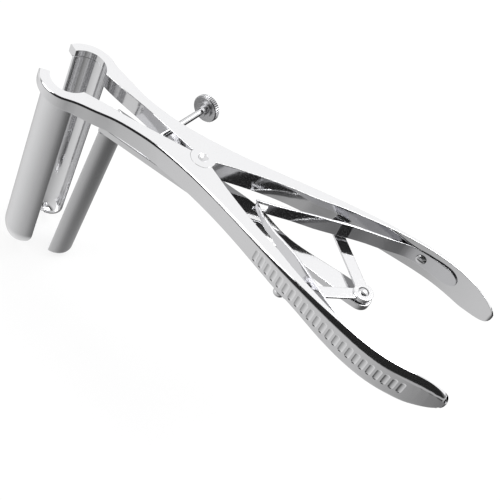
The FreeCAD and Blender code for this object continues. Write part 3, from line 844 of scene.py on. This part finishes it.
    def cut_shoulder(self, lever: bpy.types.Object) -> None:
        """Takes the outer top edge down to the shoulder."""
        cutter = self.shoulder_cutter(lever)
        cut = lever.modifiers.new("shoulder", "BOOLEAN")
        cut.operation = "DIFFERENCE"
        cut.solver = "EXACT"
        cut.object = cutter
        apply_modifiers(lever)
        bpy.data.objects.remove(cutter)

    def rounding(self, middle: Vector, mean: Vector) -> float:
        """Each edge's rounding, by where it is and which way it faces."""
        outward = mean.y * self.side.value
        x, y = self.link_pivot
        near_link = math.hypot(middle.x - x, middle.y * self.side.value - y) < self.link_radius
        in_pocket = middle.z < self.pocket_height
        if math.hypot(middle.x, middle.y) < self.lap_radius:
            return self.fine
        if middle.x < self.ring_end:
            if mean.z > 0.3 and middle.z > self.ring_top_edge:
                return 0.0
            return self.ring_rounding if mean.z < -0.3 else self.fine
        if outward > 0.1 and mean.z > -0.4:
            return 0.0
        if middle.z > self.top_edge:
            return self.inner_rounding
        if near_link and in_pocket:
            return 0.0
        if outward > 0.2:
            return self.fine if near_link else table_at(self.lower_rounding, middle.x / MM) * MM
        return self.inner_rounding if in_pocket and abs(mean.z) > 0.3 else self.fine

    def build(self) -> None:
        """Builds the lever, its blade and its screws."""
        word = self.side.word
        body = f"{word}_lever"
        lever = copy_of(f"{word}_lever", f"{word}_lever_forging")
        self.fair_neck(lever)
        self.cut_shoulder(lever)
        ease_edges(lever, self.rounding)
        smooth(lever, self.shading)
        dress(lever, MIRROR, body, f"{word}_lever")
        low, high = (math.radians(a) for a in self.blade_angles)
        start = low if self.side is Side.RIGHT else -high
        x, y = self.ring_centre
        Trough(f"{word}_blade", f"{word}_blade_trough", (x, y * self.side.value), self.blade_radius,
               self.blade_wall, self.blade_top, self.blade_nose, start, high - low, self.blade_tip,
               spoon=self.blade_spoon).build(body)
        for screw in (f"{word}_spring_screw", f"{word}_link_screw"):
            finished_copy(screw, f"{screw}_turned", TURNED, body, self.screw_edge, 2)


@dataclass
class LeafSpring:
    """One leaf spring, which bends between its foot on the handle and its tip at the middle.

    Attributes:
        side: which lever it is on.
        edge: its edges' rounding.
        foot_x: where it is held fast to the handle; not used.
        rise: how much higher its top edge is than the solid's.
        rise_end: where the rise begins, from the handle's side.
        rise_run: the length over which it grows.
    """

    side: Side
    edge: float = 0.22 * MM
    foot_x: float = 86 * MM
    rise: float = 1.2 * MM
    rise_end: float = 84 * MM
    rise_run: float = 24 * MM

    def build(self) -> None:
        """Builds the spring in place, on no moving body."""
        word = self.side.word
        node = f"{word}_leaf_spring"
        low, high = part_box(node)
        spring = copy_of(node, f"{word}_spring_leaf")
        for vertex in spring.data.vertices:
            share = (vertex.co.z - low.z) / (high.z - low.z)
            along = min(1.0, max(0.0, (self.rise_end - vertex.co.x) / self.rise_run))
            vertex.co.z += self.rise * share * along
        ease_edges(spring, lambda middle, mean: self.edge, 3)
        smooth(spring)
        spring.data.materials.clear()
        spring.data.materials.append(SPRING.material())
        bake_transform(spring)
        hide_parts(node)
        log.info("%s bends from the pivot to the handle", spring.name)


@dataclass
class CentreBar:
    """The sliding bar with the third blade."""

    edge: float = 0.35 * MM
    underside: float = -14.3 * MM
    blade_centre: tuple[float, float] = (-41.6 * MM, 0.0)
    blade_radius: float = 7.5 * MM
    blade_wall: float = 1.4 * MM
    blade_top: float = -11.3 * MM
    blade_nose: float = 3.2 * MM
    blade_half: float = math.radians(86.0)
    blade_tip: float = -98.6 * MM
    blade_lean: float = math.radians(2.9)

    def build(self) -> None:
        """Builds the bar and its blade."""
        finished_copy("centre_bar", "sliding_bar", MIRROR, "centre_bar", self.edge)
        Trough("centre_blade", "third_blade_trough", self.blade_centre, self.blade_radius, self.blade_wall,
               self.blade_top, self.blade_nose, -self.blade_half, 2 * self.blade_half, self.blade_tip,
               lean=self.blade_lean, seat=self.underside).build("centre_bar")


@dataclass
class Linkage:
    """The two links with their rivet, spacer and washer."""

    edge: float = 0.15 * MM
    rivet_edge: float = 0.08 * MM

    def build(self) -> None:
        """Builds the links and dresses what joins them."""
        for side in Side:
            body = f"{side.word}_link"
            finished_copy(body, f"{side.word}_link_strip", MIRROR, body, self.edge, 3)
        finished_copy("link_rivet", "domed_rivet", TURNED, "right_link", self.rivet_edge, 2)
        plain("link_spacer", TURNED)
        plain("left_link_washer", TURNED)


@dataclass
class Pivot:
    """The screw, collar and nut that the levers and the bar turn and slide on."""

    edge: float = 0.1 * MM

    def build(self) -> None:
        """Builds the screw and the nut and dresses the collar."""
        finished_copy("pivot_screw", "dished_pivot_screw", TURNED, "pivot", self.edge, 2)
        finished_copy("pivot_nut", "domed_pivot_nut", TURNED, "pivot", self.edge, 2)
        plain("pivot_spacer", TURNED)


@dataclass
class ThumbScrew:
    """The thumb screw's rod and its knurled head."""

    def build(self) -> None:
        """Builds the rod and the head."""
        finished_copy("thumb_screw", "thumb_screw_rod", TURNED, "thumb_screw")
        finished_copy("thumb_screw_knob", "knurled_head", KNURL, "thumb_screw")


@dataclass
class Studio:
    """Floor, light and camera.

    A mirror sees the sky white behind and dark in front, with a dark line on the horizon behind, over a grey
    ground. Each pair named after a border says where a smooth step starts and ends: in height from -1 to 1, or in
    how far behind or along the direction goes.
    """

    floor_gap: float = 0.4 * MM
    floor_size: float = 6.0
    camera_place: tuple[float, float, float] = (0.072735, -0.301796, 0.296835)
    camera_right: tuple[float, float, float] = (0.817074, 0.468259, 0.336338)
    camera_down: tuple[float, float, float] = (0.569732, -0.566461, -0.595422)
    camera_forward: tuple[float, float, float] = (-0.088289, 0.678126, -0.729623)
    lens: float = 79.945
    sky: float = 0.85
    white: float = 1.15
    front: float = 0.50
    horizon: float = 0.72
    patch: float = 0.96
    ground: float = 0.54
    ground_along: float = 0.40
    ground_behind: float = 0.22
    ground_below: float = 0.25
    ground_end: float = 0.17
    back: tuple[float, float, float] = (-0.13, 0.99, 0.0)
    horizon_low: tuple[float, float] = (-0.02, 0.02)
    horizon_high: tuple[float, float] = (0.12, 0.18)
    horizon_back: tuple[float, float] = (0.0, 0.3)
    patch_low: tuple[float, float] = (0.04, 0.11)
    patch_high: tuple[float, float] = (0.82, 0.92)
    patch_back: tuple[float, float] = (-0.5, 0.1)
    white_back: tuple[float, float] = (-0.3, 0.2)
    ground_back: tuple[float, float] = (0.0, 0.9)
    ground_nadir: tuple[float, float] = (-0.98, -0.74)
    ground_far: tuple[float, float] = (0.30, 0.66)
    sky_low: tuple[float, float] = (-0.12, -0.02)
    floor_share: float = 0.82
    lamp_target: tuple[float, float, float] = (0.02, 0.0, -0.02)

    def floor(self) -> None:
        """A pale floor that looks white to the camera and keeps a soft shadow."""
        low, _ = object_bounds()
        deselect()
        bpy.ops.mesh.primitive_plane_add(size=self.floor_size, location=(0, 0, low[2] - self.floor_gap))
        plane = bpy.context.object
        plane.name = "floor"
        graph = ShaderGraph("pale_floor")
        matte = graph.add("ShaderNodeBsdfDiffuse", {}, {"Color": (0.80, 0.80, 0.80, 1.0)})
        glow = graph.add("ShaderNodeEmission", {}, {"Color": WHITE, "Strength": 1.0})
        camera_ray = graph.add("ShaderNodeLightPath", {}, {}, "Is Camera Ray")
        mixed = graph.add("ShaderNodeMixShader", {}, {0: camera_ray * self.floor_share, 1: matte, 2: glow})
        plane.data.materials.append(graph.close(mixed))
        plane.visible_glossy = False
        plane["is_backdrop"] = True

    def lamp(self, name: str, place: Sequence[float], size: float, power: float) -> None:
        """A square soft light that points at the middle of the instrument.

        Args:
            name: the lamp's name.
            place: where it stands.
            size: the length of its side.
            power: its watts.
        """
        data = bpy.data.lights.new(name, "AREA")
        data.size = size
        data.energy = power
        lamp = bpy.data.objects.new(name, data)
        bpy.context.scene.collection.objects.link(lamp)
        lamp.location = place
        lamp.rotation_euler = (Vector(self.lamp_target) - Vector(place)).to_track_quat("-Z", "Y").to_euler()

    def world(self) -> None:
        """The surroundings: shaped for mirrors, plain for dull surfaces and white for the camera."""
        graph = ShaderGraph("studio", bpy.data.worlds.new("studio"))
        bpy.context.scene.world = graph.material
        direction = graph.add("ShaderNodeTexCoord", {}, {}, "Generated")
        behind = graph.dot(direction, self.back)
        along = graph.dot(direction, X_AXIS)
        up = graph.dot(direction, Z_AXIS)
        horizon = graph.step(up, *self.horizon_low) * (1.0 - graph.step(up, *self.horizon_high))
        horizon = horizon * graph.step(behind, *self.horizon_back)
        patch = graph.step(up, *self.patch_low) * (1.0 - graph.step(up, *self.patch_high))
        patch = patch * (1.0 - graph.step(behind, *self.patch_back))
        sky = self.front + (self.white - self.front) * graph.step(behind, *self.white_back)
        sky = sky * (1.0 - self.horizon * horizon) * (1.0 - self.patch * patch)
        ground = self.ground + self.ground_below * (1.0 - graph.step(up, *self.ground_nadir))
        for depth, place in ((self.ground_along, along), (self.ground_behind, graph.step(behind, *self.ground_back)),
                             (self.ground_end, graph.step(along, *self.ground_far))):
            ground = ground - depth * place
        above = graph.step(up, *self.sky_low)
        seen = ground * (1.0 - above) + sky * above
        mirrored, plain_sky, white = (
            graph.add("ShaderNodeBackground", {}, {"Color": WHITE, "Strength": strength})
            for strength in (seen, self.sky, 1.0))
        glossy = graph.add("ShaderNodeLightPath", {}, {}, "Is Glossy Ray")
        camera = graph.add("ShaderNodeLightPath", {}, {}, "Is Camera Ray")
        lit = graph.add("ShaderNodeMixShader", {}, {0: glossy, 1: plain_sky, 2: mirrored})
        graph.close(graph.add("ShaderNodeMixShader", {}, {0: camera, 1: lit, 2: white}))

    def camera(self) -> None:
        """The camera at the photograph's place and angle."""
        data = bpy.data.cameras.new("camera")
        data.lens = self.lens
        data.clip_start = 0.01
        camera = bpy.data.objects.new("camera", data)
        bpy.context.scene.collection.objects.link(camera)
        right, down, forward = (Vector(v) for v in (self.camera_right, self.camera_down, self.camera_forward))
        turn = Matrix((right, -down, -forward)).transposed().to_4x4()
        camera.matrix_world = Matrix.Translation(Vector(self.camera_place)) @ turn
        bpy.context.scene.camera = camera

    def build(self) -> None:
        """Sets the whole studio up."""
        self.floor()
        self.world()
        self.camera()
        self.lamp("key", (0.25, 0.35, 0.75), 0.5, 5.0)
        self.lamp("fill", (-0.6, -0.5, 0.5), 0.6, 4.0)
        bpy.context.scene.view_settings.view_transform = "Standard"


def main() -> None:
    """Builds every sub-assembly in order."""
    logging.basicConfig(level=logging.INFO, format="%(name)s: %(message)s")
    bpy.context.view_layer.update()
    for side in Side:
        Lever(side).build()
        LeafSpring(side).build()
    for assembly in (CentreBar(), Linkage(), Pivot(), ThumbScrew(), Studio()):
        assembly.build()


if __name__ == "__main__":
    main()
